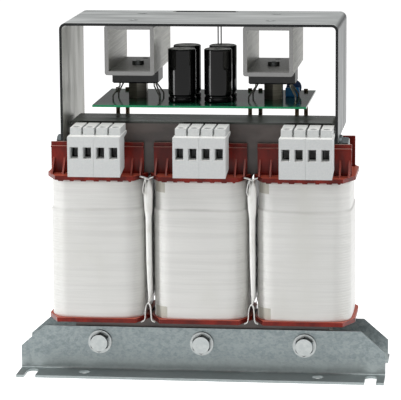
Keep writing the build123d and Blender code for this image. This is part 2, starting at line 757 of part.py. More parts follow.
# ------------------------------------------------------------------ assembly
keep("front_rail", front_rail())
keep("rear_rail", mirror(front_rail(), about=Plane.XZ))
base_fasteners()
keep("core_legs", core_legs())
keep("top_yoke", top_yoke())
for phase, phase_x in phases.items():
    keep(f"bobbin_{phase}", place_bobbin_holes(phase, phase_x))
    keep(f"winding_{phase}", Pos(phase_x, 0, 0) * winding())
    keep(f"coil_wrap_{phase}", Pos(phase_x, 0, 0) * coil_wrap())
    winding_leads(phase)
keep("insulation_sheet_left", Pos(-phase_pitch / 2, 0, 0) * insulation_sheet())
keep("insulation_sheet_right", Pos(phase_pitch / 2, 0, 0) * insulation_sheet())
terminals()
keep("yoke_strap", yoke_strap())
keep("bow", bow())
bow_fasteners()
deck_side(-1, "left")
deck_side(1, "right")
heat_sink_screws()
deck_fasteners()
keep("circuit_board", circuit_board())
for place, (x, y) in capacitor_places.items():
    keep(f"capacitor_{place}", Pos(x, y, board_top) * capacitor())
small_parts()

os.makedirs("parts", exist_ok=True)
for name, shape in nodes.items():
    export_step(shape, f"parts/{name}.step")
print(len(nodes), "nodes,", sum(len(shape.solids()) for shape in nodes.values()), "solids")
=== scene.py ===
import json
import math
import random

import bmesh
import bpy
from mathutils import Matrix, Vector


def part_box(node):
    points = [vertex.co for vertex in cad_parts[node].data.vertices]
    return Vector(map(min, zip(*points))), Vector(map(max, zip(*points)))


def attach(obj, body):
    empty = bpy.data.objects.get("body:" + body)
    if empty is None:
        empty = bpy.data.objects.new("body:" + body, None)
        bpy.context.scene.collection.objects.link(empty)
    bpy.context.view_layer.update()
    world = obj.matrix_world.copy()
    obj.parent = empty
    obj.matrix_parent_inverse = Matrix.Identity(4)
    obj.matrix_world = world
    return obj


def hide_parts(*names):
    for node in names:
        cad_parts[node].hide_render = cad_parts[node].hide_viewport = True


# Looks of a three-phase dry-type transformer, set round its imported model.
# Sizes are in metres: x along the three coils, y from the terminals to the rear, z up.

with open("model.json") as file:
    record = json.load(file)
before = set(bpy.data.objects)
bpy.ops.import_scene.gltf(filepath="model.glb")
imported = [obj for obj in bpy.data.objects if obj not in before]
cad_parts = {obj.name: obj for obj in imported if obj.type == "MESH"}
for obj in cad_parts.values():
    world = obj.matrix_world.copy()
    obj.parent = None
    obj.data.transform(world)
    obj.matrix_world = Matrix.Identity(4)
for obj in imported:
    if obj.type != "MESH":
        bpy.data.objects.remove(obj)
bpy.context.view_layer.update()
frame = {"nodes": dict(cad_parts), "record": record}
nodes = frame["nodes"]
mm = 0.001

# outline of a taped coil
coil_corner = 13.5 * mm
coil_side_bulge = 1.4 * mm
coil_front_bulge = 2.6 * mm
coil_points = 120


# ------------------------------------------------------------------ materials: the tools
def linear(hex_colour):
    """sRGB hex colour as the linear RGBA that shaders take."""
    parts = [int(hex_colour[i:i + 2], 16) / 255 for i in (1, 3, 5)]
    return tuple(c / 12.92 if c <= 0.04045 else ((c + 0.055) / 1.055) ** 2.4 for c in parts) + (1.0,)


def add(tree, kind, inputs=None, **settings):
    """Add one node: settings go on the node, inputs take values, hex colours or the sockets they
    link from. The colour inputs of a mix share one name, so they are given by number: 6 and 7."""
    made = tree.nodes.new(kind)
    for name, value in settings.items():
        setattr(made, name, value)
    for name, value in (inputs or {}).items():
        if isinstance(value, bpy.types.NodeSocket):
            tree.links.new(value, made.inputs[name])
        elif isinstance(value, str):
            made.inputs[name].default_value = linear(value)
        else:
            made.inputs[name].default_value = value
    return made


def start_material(name, **shader_values):
    """New material with its shader's plain values set. Gives the material, its tree and shader."""
    material = bpy.data.materials.new(name)
    material.use_nodes = True
    tree = material.node_tree
    shader = tree.nodes["Principled BSDF"]
    for socket, value in shader_values.items():
        shader.inputs[socket.replace("_", " ")].default_value = value
    return material, tree, shader


def stretched(tree, x, y, z):
    """The object's own coordinates, stretched: so many pattern units to the metre on each axis."""
    place = add(tree, "ShaderNodeTexCoord").outputs["Object"]
    return add(tree, "ShaderNodeMapping", {"Vector": place, "Scale": (x, y, z)}).outputs["Vector"]


def facing(tree, axis):
    """How far the surface's true normal points along one axis, from -1 to 1."""
    normal = add(tree, "ShaderNodeNewGeometry").outputs["Normal"]
    return add(tree, "ShaderNodeSeparateXYZ", {"Vector": normal}).outputs[axis]


# ------------------------------------------------------------------ materials: the finishes
def varnished_core():
    """Stamped electrical steel under brown impregnating varnish: dark, half glossy, with the thin
    sheet edges showing as lines on the top and the ends."""
    material, tree, shader = start_material("varnished_core_sheets", Roughness=0.42, Metallic=0.0,
                                            Specular_IOR_Level=0.6)
    clouds = add(tree, "ShaderNodeTexNoise", {"Vector": stretched(tree, 30, 30, 60), "Scale": 1.0,
                 "Detail": 6.0, "Roughness": 0.6}).outputs["Fac"]
    share = add(tree, "ShaderNodeMapRange", {"Value": clouds, "From Min": 0.35, "From Max": 0.7},
            interpolation_type="SMOOTHSTEP").outputs["Result"]
    colour = add(tree, "ShaderNodeMix", {"Factor": share, 6: "#3E3633", 7: "#5B514C"},
            data_type="RGBA").outputs[2]
    # sheets are 0.5 mm thick; drawn 2 mm apart so that they show
    sheets = add(tree, "ShaderNodeTexWave", {"Vector": stretched(tree, 0, 1, 0), "Scale": 160.0,
                 "Distortion": 0.6, "Detail": 2.0}, bands_direction="Y").outputs["Fac"]
    across = add(tree, "ShaderNodeMath", {0: facing(tree, "Y")}, operation="ABSOLUTE").outputs[0]
    edge = add(tree, "ShaderNodeMapRange", {"Value": across, "From Min": 0.3, "From Max": 0.7,
            "To Min": 1.0, "To Max": 0.0}, interpolation_type="SMOOTHSTEP").outputs["Result"]
    line = add(tree, "ShaderNodeMath", {0: sheets, 1: edge}, operation="MULTIPLY").outputs[0]
    colour = add(tree, "ShaderNodeMix", {"Factor": line, 6: colour, 7: "#6F6A60"},
            data_type="RGBA").outputs[2]
    tree.links.new(colour, shader.inputs["Base Color"])
    relief = add(tree, "ShaderNodeBump", {"Height": line, "Distance": 0.15 * mm,
            "Strength": 0.6}).outputs["Normal"]
    tree.links.new(relief, shader.inputs["Normal"])
    return material


def galvanised_sheet():
    """Hot-dip galvanised sheet: blue-grey zinc with soft crystal patches and fine dull grain."""
    material, tree, shader = start_material("galvanised_sheet", Metallic=0.75)
    # zinc crystals about 3 mm across
    crystals = add(tree, "ShaderNodeTexVoronoi", {"Vector": stretched(tree, 330, 330, 330), "Scale": 1.0,
                   "Randomness": 1.0}, feature="F1").outputs["Color"]
    tone = add(tree, "ShaderNodeSeparateXYZ", {"Vector": crystals}).outputs["X"]
    grain = add(tree, "ShaderNodeTexNoise", {"Vector": stretched(tree, 400, 400, 700), "Scale": 1.0,
                "Detail": 5.0, "Roughness": 0.7}).outputs["Fac"]
    mixed = add(tree, "ShaderNodeMath", {0: tone, 1: 0.25, 2: grain}, operation="MULTIPLY_ADD").outputs[0]
    share = add(tree, "ShaderNodeMapRange", {"Value": mixed, "From Min": 0.3, "From Max": 0.95},
            interpolation_type="SMOOTHSTEP").outputs["Result"]
    colour = add(tree, "ShaderNodeMix", {"Factor": share, 6: "#737E80", 7: "#9AA3A4"},
            data_type="RGBA").outputs[2]
    # paler in a belt above the bend, towards the bottom
    place = add(tree, "ShaderNodeTexCoord").outputs["Object"]
    height = add(tree, "ShaderNodeSeparateXYZ", {"Vector": place}).outputs["Z"]
    share = add(tree, "ShaderNodeMapRange", {"Value": height, "From Min": 16 * mm, "From Max": 6 * mm},
            interpolation_type="SMOOTHSTEP").outputs["Result"]
    belt = add(tree, "ShaderNodeMath", {0: share, 1: 0.45}, operation="MULTIPLY").outputs[0]
    colour = add(tree, "ShaderNodeMix", {"Factor": belt, 6: colour, 7: "#B4BCBB"},
            data_type="RGBA").outputs[2]
    tree.links.new(colour, shader.inputs["Base Color"])
    roughness = add(tree, "ShaderNodeMapRange", {"Value": mixed, "From Min": 0.2, "From Max": 1.2,
            "To Min": 0.34, "To Max": 0.5}, interpolation_type="SMOOTHSTEP").outputs["Result"]
    tree.links.new(roughness, shader.inputs["Roughness"])
    relief = add(tree, "ShaderNodeBump", {"Height": grain, "Distance": 0.05 * mm,
            "Strength": 0.5}).outputs["Normal"]
    tree.links.new(relief, shader.inputs["Normal"])
    return material


def brushed_sheet(name, light, dark, edge_colour, lit_inner_arm_colour, shaded_outer_arm_colour, roughness, metallic):
    """Zinc-plated sheet brushed along x: fine streaks, arms in painted light and shade, a dark sheared edge."""
    material, tree, shader = start_material(name, Metallic=metallic)
    # brushing lines about 1 mm apart with finer ones between, many centimetres long; the real ones
    # are finer than the render can show
    streaks = add(tree, "ShaderNodeTexNoise", {"Vector": stretched(tree, 8, 900, 25), "Scale": 1.0,
                  "Detail": 4.0, "Roughness": 0.65}).outputs["Fac"]
    patches = add(tree, "ShaderNodeTexNoise", {"Vector": stretched(tree, 14, 70, 14), "Scale": 1.0,
                  "Detail": 6.0, "Roughness": 0.6}).outputs["Fac"]
    mixed = add(tree, "ShaderNodeMath", {0: streaks, 1: 0.6, 2: patches}, operation="MULTIPLY_ADD").outputs[0]
    share = add(tree, "ShaderNodeMapRange", {"Value": mixed, "From Min": 0.55, "From Max": 1.05},
            interpolation_type="SMOOTHSTEP").outputs["Result"]
    colour = add(tree, "ShaderNodeMix", {"Factor": share, 6: dark, 7: light}, data_type="RGBA").outputs[2]
    across = add(tree, "ShaderNodeMath", {0: facing(tree, "X")}, operation="ABSOLUTE").outputs[0]
    place = add(tree, "ShaderNodeTexCoord").outputs["Object"]
    sideways = add(tree, "ShaderNodeSeparateXYZ", {"Vector": place}).outputs["X"]
    outward = add(tree, "ShaderNodeMath", {0: sideways, 1: facing(tree, "X")},
            operation="MULTIPLY").outputs[0]
    # painted light and shade on the arms: a lit colour inside, a shaded colour outside
    share = add(tree, "ShaderNodeMapRange", {"Value": outward, "From Min": -0.05, "From Max": 0.05},
            interpolation_type="SMOOTHSTEP").outputs["Result"]
    arm_light_and_shade = add(tree, "ShaderNodeMix", {"Factor": share, 6: lit_inner_arm_colour, 7: shaded_outer_arm_colour},
            data_type="RGBA").outputs[2]
    share = add(tree, "ShaderNodeMapRange", {"Value": patches, "From Min": 0.35, "From Max": 0.75},
            interpolation_type="SMOOTHSTEP").outputs["Result"]
    smudged_arm_shade = add(tree, "ShaderNodeMix", {"Factor": share, 6: arm_light_and_shade, 7: colour}, data_type="RGBA").outputs[2]
    arm_light_and_shade = add(tree, "ShaderNodeMix", {"Factor": 0.08, 6: arm_light_and_shade, 7: smudged_arm_shade}, data_type="RGBA").outputs[2]
    share = add(tree, "ShaderNodeMapRange", {"Value": across, "From Min": 0.4, "From Max": 0.95},
            interpolation_type="SMOOTHSTEP").outputs["Result"]
    colour = add(tree, "ShaderNodeMix", {"Factor": share, 6: colour, 7: arm_light_and_shade}, data_type="RGBA").outputs[2]
    forward = add(tree, "ShaderNodeMath", {0: facing(tree, "Y")}, operation="ABSOLUTE").outputs[0]
    share = add(tree, "ShaderNodeMapRange", {"Value": forward, "From Min": 0.8, "From Max": 0.95},
            interpolation_type="SMOOTHSTEP").outputs["Result"]
    colour = add(tree, "ShaderNodeMix", {"Factor": share, 6: colour, 7: edge_colour},
            data_type="RGBA").outputs[2]
    tree.links.new(colour, shader.inputs["Base Color"])
    roughness = add(tree, "ShaderNodeMapRange", {"Value": patches, "From Min": 0.3, "From Max": 0.7,
            "To Min": roughness - 0.06, "To Max": roughness + 0.1},
            interpolation_type="SMOOTHSTEP").outputs["Result"]
    tree.links.new(roughness, shader.inputs["Roughness"])
    relief = add(tree, "ShaderNodeBump", {"Height": streaks, "Distance": 0.03 * mm,
            "Strength": 0.4}).outputs["Normal"]
    tree.links.new(relief, shader.inputs["Normal"])
    return material


def bright_zinc(name, axis, flank_shade_colour):
    """Bright zinc-plated fasteners: a clear, slightly mottled metal, with painted shade on the flanks
    round their axis."""
    material, tree, shader = start_material(name, Metallic=0.9, Roughness=0.24)
    mottle = add(tree, "ShaderNodeTexNoise", {"Vector": stretched(tree, 350, 350, 350), "Scale": 1.0,
                 "Detail": 2.0}).outputs["Fac"]
    share = add(tree, "ShaderNodeMapRange", {"Value": mottle, "From Min": 0.3, "From Max": 0.7},
            interpolation_type="SMOOTHSTEP").outputs["Result"]
    colour = add(tree, "ShaderNodeMix", {"Factor": share, 6: "#A3A8A8", 7: "#B2B6B5"},
            data_type="RGBA").outputs[2]
    # painted shade: faces round the axis are darker than the faces that look along it
    along = add(tree, "ShaderNodeMath", {0: facing(tree, axis)}, operation="ABSOLUTE").outputs[0]
    flank_shade = add(tree, "ShaderNodeMapRange", {"Value": along, "From Min": 0.8, "From Max": 0.99,
            "To Min": 1.0, "To Max": 0.0}, interpolation_type="SMOOTHSTEP").outputs["Result"]
    colour = add(tree, "ShaderNodeMix", {"Factor": flank_shade, 6: colour, 7: flank_shade_colour},
            data_type="RGBA").outputs[2]
    tree.links.new(colour, shader.inputs["Base Color"])
    roughness = add(tree, "ShaderNodeMapRange", {"Value": mottle, "From Min": 0.3, "From Max": 0.7,
            "To Min": 0.3, "To Max": 0.36}, interpolation_type="SMOOTHSTEP").outputs["Result"]
    tree.links.new(roughness, shader.inputs["Roughness"])
    return material


def turned_steel():
    """Turned steel of the spacers: grey, with fine rings."""
    material, tree, shader = start_material("turned_steel", Metallic=0.9, Roughness=0.3)
    rings = add(tree, "ShaderNodeTexNoise", {"Vector": stretched(tree, 60, 60, 2500), "Scale": 1.0,
                "Detail": 2.0}).outputs["Fac"]
    colour = add(tree, "ShaderNodeMix", {"Factor": rings, 6: "#4E4C46", 7: "#8D8A80"},
            data_type="RGBA").outputs[2]
    tree.links.new(colour, shader.inputs["Base Color"])
    relief = add(tree, "ShaderNodeBump", {"Height": rings, "Distance": 0.03 * mm,
            "Strength": 0.5}).outputs["Normal"]
    tree.links.new(relief, shader.inputs["Normal"])
    return material


def bobbin_moulding():
    """Glass-filled polyester moulding, dark red-brown, glossy where the varnish has run over it;
    faces that point up carry a painted highlight.
    """
    material, tree, shader = start_material("red_brown_polyester", Roughness=0.34, Specular_IOR_Level=0.2,
                                            Coat_Weight=0.06, Coat_Roughness=0.12)
    flow = add(tree, "ShaderNodeTexNoise", {"Vector": stretched(tree, 70, 70, 25), "Scale": 1.0,
               "Detail": 5.0, "Roughness": 0.6}).outputs["Fac"]
    share = add(tree, "ShaderNodeMapRange", {"Value": flow, "From Min": 0.35, "From Max": 0.7},
            interpolation_type="SMOOTHSTEP").outputs["Result"]
    colour = add(tree, "ShaderNodeMix", {"Factor": share, 6: "#560F08", 7: "#8A2113"},
            data_type="RGBA").outputs[2]
    up = add(tree, "ShaderNodeMapRange", {"Value": facing(tree, "Z"), "From Min": 0.5, "From Max": 0.95},
            interpolation_type="SMOOTHSTEP").outputs["Result"]
    # painted highlight on the faces that point up, palest on the thin lip along each carrier's top
    place = add(tree, "ShaderNodeTexCoord").outputs["Object"]
    height = add(tree, "ShaderNodeSeparateXYZ", {"Vector": place}).outputs["Z"]
    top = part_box("bobbin_left")[1].z
    share = add(tree, "ShaderNodeMapRange", {"Value": height, "From Min": top - 8 * mm,
            "From Max": top - 4 * mm}, interpolation_type="SMOOTHSTEP").outputs["Result"]
    painted_top_highlight = add(tree, "ShaderNodeMix", {"Factor": share, 6: "#BE5B48", 7: "#E2B5A6"},
            data_type="RGBA").outputs[2]
    colour = add(tree, "ShaderNodeMix", {"Factor": up, 6: colour, 7: painted_top_highlight}, data_type="RGBA").outputs[2]
    tree.links.new(colour, shader.inputs["Base Color"])
    relief = add(tree, "ShaderNodeBump", {"Height": flow, "Distance": 0.2 * mm,
            "Strength": 0.35}).outputs["Normal"]
    tree.links.new(relief, shader.inputs["Normal"])
    return material


def coil_tape():
    """White woven glass tape pulled tight over the winding: satin, with thread lines round the coil."""
    material, tree, shader = start_material("white_coil_tape", Roughness=0.42, IOR=1.5,
                                            Specular_IOR_Level=0.45, Coat_Weight=0.15, Coat_Roughness=0.25)
    # threads are 0.25 mm apart; drawn 1.8 mm apart so that they show
    threads = add(tree, "ShaderNodeTexWave", {"Vector": stretched(tree, 0.02, 0.02, 1), "Scale": 175.0,
                  "Distortion": 1.2, "Detail": 3.0, "Detail Scale": 2.0}, bands_direction="Z").outputs["Fac"]
    relief_with_painted_shade = add(tree, "ShaderNodeTexNoise", {"Vector": stretched(tree, 9, 9, 320), "Scale": 1.0,
               "Detail": 5.0, "Roughness": 0.6}).outputs["Fac"]
    soft = add(tree, "ShaderNodeTexNoise", {"Vector": stretched(tree, 22, 22, 12), "Scale": 1.0,
               "Detail": 3.0}).outputs["Fac"]
    # painted shade: faint darker horizontal lines along the tape's relief
    share = add(tree, "ShaderNodeMapRange", {"Value": relief_with_painted_shade, "From Min": 0.42, "From Max": 0.66},
            interpolation_type="SMOOTHSTEP").outputs["Result"]
    colour = add(tree, "ShaderNodeMix", {"Factor": share, 6: "#E5E5E2", 7: "#DEDEDB"},
            data_type="RGBA").outputs[2]
    share = add(tree, "ShaderNodeMapRange", {"Value": soft, "From Min": 0.45, "From Max": 0.75},
            interpolation_type="SMOOTHSTEP").outputs["Result"]
    colour = add(tree, "ShaderNodeMix", {"Factor": share, 6: colour, 7: "#DDDDD8"},
            data_type="RGBA").outputs[2]
    tree.links.new(colour, shader.inputs["Base Color"])
    both = add(tree, "ShaderNodeMath", {0: threads, 1: 0.35, 2: relief_with_painted_shade}, operation="MULTIPLY_ADD").outputs[0]
    relief = add(tree, "ShaderNodeBump", {"Height": both, "Distance": 0.06 * mm,
            "Strength": 0.25}).outputs["Normal"]
    tree.links.new(relief, shader.inputs["Normal"])
    return material


def paper_tape():
    """Beige crepe paper tape that holds the ends down: matt and finely creased."""
    material, tree, shader = start_material("beige_paper_tape", Roughness=0.75)
    creases = add(tree, "ShaderNodeTexNoise", {"Vector": stretched(tree, 900, 900, 200), "Scale": 1.0,
                  "Detail": 3.0}).outputs["Fac"]
    colour = add(tree, "ShaderNodeMix", {"Factor": creases, 6: "#B3B1A6", 7: "#C8C6BC"},
            data_type="RGBA").outputs[2]
    tree.links.new(colour, shader.inputs["Base Color"])
    relief = add(tree, "ShaderNodeBump", {"Height": creases, "Distance": 0.06 * mm,
            "Strength": 0.5}).outputs["Normal"]
    tree.links.new(relief, shader.inputs["Normal"])
    return material


def insulating_sheet():
    """White calendered insulating sheet: smooth, bright and a little waxy."""
    material, tree, shader = start_material("white_insulating_sheet", Roughness=0.38, Coat_Weight=0.2)
    fibres = add(tree, "ShaderNodeTexNoise", {"Vector": stretched(tree, 200, 200, 120), "Scale": 1.0,
                 "Detail": 5.0}).outputs["Fac"]
    share = add(tree, "ShaderNodeMapRange", {"Value": fibres, "From Min": 0.4, "From Max": 0.8},
            interpolation_type="SMOOTHSTEP").outputs["Result"]
    colour = add(tree, "ShaderNodeMix", {"Factor": share, 6: "#FBFBF8", 7: "#EDECE6"},
            data_type="RGBA").outputs[2]
    tree.links.new(colour, shader.inputs["Base Color"])
    relief = add(tree, "ShaderNodeBump", {"Height": fibres, "Distance": 0.05 * mm,
            "Strength": 0.4}).outputs["Normal"]
    tree.links.new(relief, shader.inputs["Normal"])
    return material


def terminal_moulding():
    """Light grey polyamide: satin, with a faint moulded grain; tops painted near white as light from above."""
    material, tree, shader = start_material("light_grey_polyamide", Roughness=0.46, IOR=1.53)
    grain = add(tree, "ShaderNodeTexNoise", {"Vector": stretched(tree, 700, 700, 700), "Scale": 1.0,
                "Detail": 4.0}).outputs["Fac"]
    share = add(tree, "ShaderNodeMapRange", {"Value": grain, "From Min": 0.35, "From Max": 0.7},
            interpolation_type="SMOOTHSTEP").outputs["Result"]
    shade = add(tree, "ShaderNodeMix", {"Factor": share, 6: "#D2D5D5", 7: "#D8DAD9"},
            data_type="RGBA").outputs[2]
    # painted light: faces that point up are near white, as lit from above
    up = add(tree, "ShaderNodeMapRange", {"Value": facing(tree, "Z"), "From Min": 0.5, "From Max": 0.95},
            interpolation_type="SMOOTHSTEP").outputs["Result"]
    colour = add(tree, "ShaderNodeMix", {"Factor": up, 6: shade, 7: "#F6F6F3"}, data_type="RGBA").outputs[2]
    tree.links.new(colour, shader.inputs["Base Color"])
    relief = add(tree, "ShaderNodeBump", {"Height": grain, "Distance": 0.01 * mm,
            "Strength": 0.15}).outputs["Normal"]
    tree.links.new(relief, shader.inputs["Normal"])
    return material


def clamp_metal():
    """Nickel-plated clamp steel, dull, with wear, and painted dark as shade deep inside its housing."""
    material, tree, shader = start_material("dull_clamp_steel_in_painted_shade", Metallic=0.8, Roughness=0.45)
    wear_and_shade = add(tree, "ShaderNodeTexNoise", {"Vector": stretched(tree, 500, 500, 500), "Scale": 1.0,
               "Detail": 3.0}).outputs["Fac"]
    # painted shade: both colours are dark for the clamp deep in its housing; the noise between them is wear
    colour = add(tree, "ShaderNodeMix", {"Factor": wear_and_shade, 6: "#3E3F3E", 7: "#757671"},
            data_type="RGBA").outputs[2]
    tree.links.new(colour, shader.inputs["Base Color"])
    return material


def extruded_tube():
    """Drawn steel-grey aluminium tube: long die lines, a floor inside painted paler as light, and a rough sawn
    rim.
    """
    material, tree, shader = start_material("drawn_aluminium_tube", Metallic=0.7)
    lines = add(tree, "ShaderNodeTexNoise", {"Vector": stretched(tree, 1200, 12, 1200), "Scale": 1.0,
                "Detail": 3.0}).outputs["Fac"]
    sparkle = add(tree, "ShaderNodeTexNoise", {"Vector": stretched(tree, 1400, 700, 1400), "Scale": 1.0,
                  "Detail": 2.0}).outputs["Fac"]
    share = add(tree, "ShaderNodeMapRange", {"Value": lines, "From Min": 0.3, "From Max": 0.7},
            interpolation_type="SMOOTHSTEP").outputs["Result"]
    colour = add(tree, "ShaderNodeMix", {"Factor": share, 6: "#92928D", 7: "#B3B3AB"},
            data_type="RGBA").outputs[2]
    # painted light: faces that point up, the floor inside among them, are paler and speckled
    up = add(tree, "ShaderNodeMapRange", {"Value": facing(tree, "Z"), "From Min": 0.6, "From Max": 0.95},
            interpolation_type="SMOOTHSTEP").outputs["Result"]
    share = add(tree, "ShaderNodeMapRange", {"Value": sparkle, "From Min": 0.4, "From Max": 0.62},
            interpolation_type="SMOOTHSTEP").outputs["Result"]
    speckled_painted_light = add(tree, "ShaderNodeMix", {"Factor": share, 6: "#9C9C9A", 7: "#C6C6C4"},
            data_type="RGBA").outputs[2]
    colour = add(tree, "ShaderNodeMix", {"Factor": up, 6: colour, 7: speckled_painted_light}, data_type="RGBA").outputs[2]
    forward = add(tree, "ShaderNodeMath", {0: facing(tree, "Y")}, operation="ABSOLUTE").outputs[0]
    share = add(tree, "ShaderNodeMapRange", {"Value": forward, "From Min": 0.8, "From Max": 0.95},
            interpolation_type="SMOOTHSTEP").outputs["Result"]
    colour = add(tree, "ShaderNodeMix", {"Factor": share, 6: colour, 7: "#8B8B8A"},
            data_type="RGBA").outputs[2]
    tree.links.new(colour, shader.inputs["Base Color"])
    roughness = add(tree, "ShaderNodeMapRange", {"Value": sparkle, "From Min": 0.3, "From Max": 0.7,
            "To Min": 0.34, "To Max": 0.5}, interpolation_type="SMOOTHSTEP").outputs["Result"]
    tree.links.new(roughness, shader.inputs["Roughness"])
    relief = add(tree, "ShaderNodeBump", {"Height": lines, "Distance": 0.03 * mm,
            "Strength": 0.4}).outputs["Normal"]
    tree.links.new(relief, shader.inputs["Normal"])
    return material


def black_epoxy():
    """Black moulded epoxy: matt, with a fine sandy grain."""
    material, tree, shader = start_material("black_moulded_epoxy", Roughness=0.4)
    grain = add(tree, "ShaderNodeTexNoise", {"Vector": stretched(tree, 900, 900, 900), "Scale": 1.0,
                "Detail": 3.0}).outputs["Fac"]
    colour = add(tree, "ShaderNodeMix", {"Factor": grain, 6: "#0F1011", 7: "#222325"},
            data_type="RGBA").outputs[2]
    tree.links.new(colour, shader.inputs["Base Color"])
    relief = add(tree, "ShaderNodeBump", {"Height": grain, "Distance": 0.05 * mm,
            "Strength": 0.5}).outputs["Normal"]
    tree.links.new(relief, shader.inputs["Normal"])
    return material


def tinned_wire():
    """Tinned copper wire, dulled by solder."""
    material, tree, shader = start_material("tinned_wire", Metallic=0.9, Roughness=0.35)
    dull = add(tree, "ShaderNodeTexNoise", {"Vector": stretched(tree, 800, 800, 800), "Scale": 1.0,
               "Detail": 2.0}).outputs["Fac"]
    colour = add(tree, "ShaderNodeMix", {"Factor": dull, 6: "#57574F", 7: "#A3A39A"},
            data_type="RGBA").outputs[2]
    tree.links.new(colour, shader.inputs["Base Color"])
    return material


def board_laminate():
    """Glass laminate under dark green solder lacquer: glossy, brighter green along its cut edge."""
    material, tree, shader = start_material("green_board_laminate", Roughness=0.12, IOR=1.55,
                                            Specular_IOR_Level=0.1, Coat_Weight=0.04, Coat_Roughness=0.05)
    # copper areas 14 to 25 mm across show faintly paler under the lacquer
    lanes = add(tree, "ShaderNodeTexVoronoi", {"Vector": stretched(tree, 40, 70, 0), "Scale": 1.0},
                feature="F1", distance="CHEBYCHEV").outputs["Color"]
    tone = add(tree, "ShaderNodeSeparateXYZ", {"Vector": lanes}).outputs["X"]
    share = add(tree, "ShaderNodeMapRange", {"Value": tone, "From Min": 0.45, "From Max": 0.55},
            interpolation_type="SMOOTHSTEP").outputs["Result"]
    colour = add(tree, "ShaderNodeMix", {"Factor": share, 6: "#0B3323", 7: "#14503A"},
            data_type="RGBA").outputs[2]
    flat = add(tree, "ShaderNodeMath", {0: facing(tree, "Z")}, operation="ABSOLUTE").outputs[0]
    share = add(tree, "ShaderNodeMapRange", {"Value": flat, "From Min": 0.3, "From Max": 0.8},
            interpolation_type="SMOOTHSTEP").outputs["Result"]
    colour = add(tree, "ShaderNodeMix", {"Factor": share, 6: "#1F8A5C", 7: colour},
            data_type="RGBA").outputs[2]
    tree.links.new(colour, shader.inputs["Base Color"])
    return material


def capacitor_can():
    """Black shrink sleeve with a glossy skin, over an aluminium can whose scored top shows."""
    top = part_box("capacitor_front_left")[1].z
    material, tree, shader = start_material("capacitor_sleeve_and_can", Specular_IOR_Level=0.2,
                                            Coat_Weight=0.1, Coat_Roughness=0.03)
    place = add(tree, "ShaderNodeTexCoord").outputs["Object"]
    height = add(tree, "ShaderNodeSeparateXYZ", {"Vector": place}).outputs["Z"]
    below_rim = add(tree, "ShaderNodeMapRange", {"Value": height, "From Min": top - 0.07 * mm,
            "From Max": top - 0.03 * mm, "To Min": 1.0, "To Max": 0.0},
            interpolation_type="SMOOTHSTEP").outputs["Result"]
    up = add(tree, "ShaderNodeMapRange", {"Value": facing(tree, "Z"), "From Min": 0.8, "From Max": 0.9},
            interpolation_type="SMOOTHSTEP").outputs["Result"]
    near_top = add(tree, "ShaderNodeMapRange", {"Value": height, "From Min": top - 2.0 * mm,
            "From Max": top - 1.0 * mm}, interpolation_type="SMOOTHSTEP").outputs["Result"]
    lid = add(tree, "ShaderNodeMath", {0: below_rim, 1: up}, operation="MULTIPLY").outputs[0]
    lid = add(tree, "ShaderNodeMath", {0: lid, 1: near_top}, operation="MULTIPLY").outputs[0]
    colour = add(tree, "ShaderNodeMix", {"Factor": lid, 6: "#050506", 7: "#A9A9A2"},
            data_type="RGBA").outputs[2]
    tree.links.new(colour, shader.inputs["Base Color"])
    metallic = add(tree, "ShaderNodeMapRange", {"Value": lid, "From Min": 0.0, "From Max": 1.0,
            "To Min": 0.0, "To Max": 0.8}, interpolation_type="SMOOTHSTEP").outputs["Result"]
    tree.links.new(metallic, shader.inputs["Metallic"])
    roughness = add(tree, "ShaderNodeMapRange", {"Value": lid, "From Min": 0.0, "From Max": 1.0,
            "To Min": 0.1, "To Max": 0.4}, interpolation_type="SMOOTHSTEP").outputs["Result"]
    tree.links.new(roughness, shader.inputs["Roughness"])
    ripple = add(tree, "ShaderNodeTexNoise", {"Vector": stretched(tree, 90, 90, 25), "Scale": 1.0,
                 "Detail": 2.0}).outputs["Fac"]
    relief = add(tree, "ShaderNodeBump", {"Height": ripple, "Distance": 0.1 * mm,
            "Strength": 0.2}).outputs["Normal"]
    tree.links.new(relief, shader.inputs["Normal"])
    return material


def plain_case(name, light, dark, roughness, coat=0.0):
    """Small moulded or dipped case with a slightly uneven colour."""
    material, tree, shader = start_material(name, Roughness=roughness, Coat_Weight=coat)
    uneven = add(tree, "ShaderNodeTexNoise", {"Vector": stretched(tree, 350, 350, 350), "Scale": 1.0,
                 "Detail": 3.0}).outputs["Fac"]
    colour = add(tree, "ShaderNodeMix", {"Factor": uneven, 6: dark, 7: light}, data_type="RGBA").outputs[2]
    tree.links.new(colour, shader.inputs["Base Color"])
    relief = add(tree, "ShaderNodeBump", {"Height": uneven, "Distance": 0.08 * mm,
            "Strength": 0.3}).outputs["Normal"]
    tree.links.new(relief, shader.inputs["Normal"])
    return material


def enamelled_lead():
    """Enamelled copper lead, browned by the varnish."""
    material, tree, shader = start_material("browned_copper_lead", Metallic=0.55, Roughness=0.35,
                                            Coat_Weight=0.3)
    browning = add(tree, "ShaderNodeTexNoise", {"Vector": stretched(tree, 200, 200, 90), "Scale": 1.0,
                   "Detail": 4.0}).outputs["Fac"]
    share = add(tree, "ShaderNodeMapRange", {"Value": browning, "From Min": 0.3, "From Max": 0.7},
            interpolation_type="SMOOTHSTEP").outputs["Result"]
    colour = add(tree, "ShaderNodeMix", {"Factor": share, 6: "#4B4131", 7: "#857456"},
            data_type="RGBA").outputs[2]
    tree.links.new(colour, shader.inputs["Base Color"])
    return material


